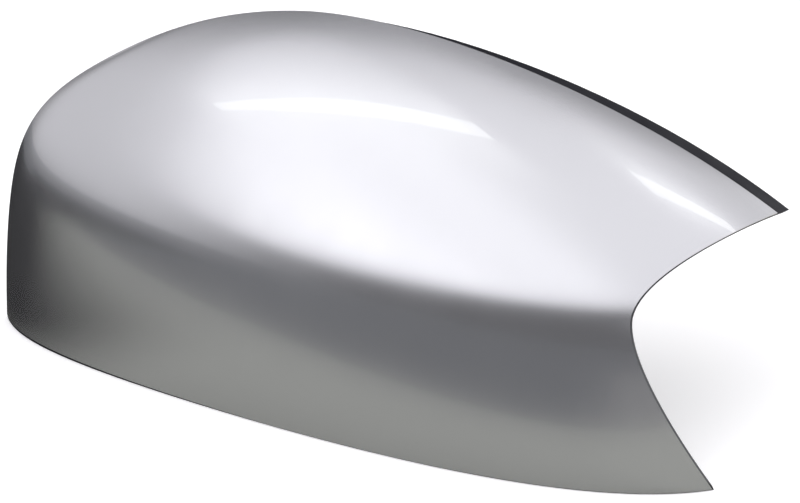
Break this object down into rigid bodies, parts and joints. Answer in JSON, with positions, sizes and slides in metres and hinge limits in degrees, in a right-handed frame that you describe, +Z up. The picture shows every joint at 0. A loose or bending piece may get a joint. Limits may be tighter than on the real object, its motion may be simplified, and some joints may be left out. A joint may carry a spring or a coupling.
{
  "type": "door mirror cover",
  "caption": "Painted clip-on cover cap for a right-hand car door mirror, a thin curved shell with a soft crease, an arm notch, snap hooks and locating pegs.",
  "frame": {"origin": "middle of the cover's length and depth, on the plane of its lower edge", "axes": "as fitted to the car: +X inboard towards the door, +Y to the rear, +Z up; the rear rim lies on one upright plane"},
  "size_m": [0.2205, 0.073, 0.0996],
  "materials": {
    "silver_paint": "silver metallic paint under a clear coat on moulded plastic, bare dark plastic inside"
  },
  "bodies": {
    "root": {"mirror_cover": "silver_paint"}
  },
  "joints": []
}
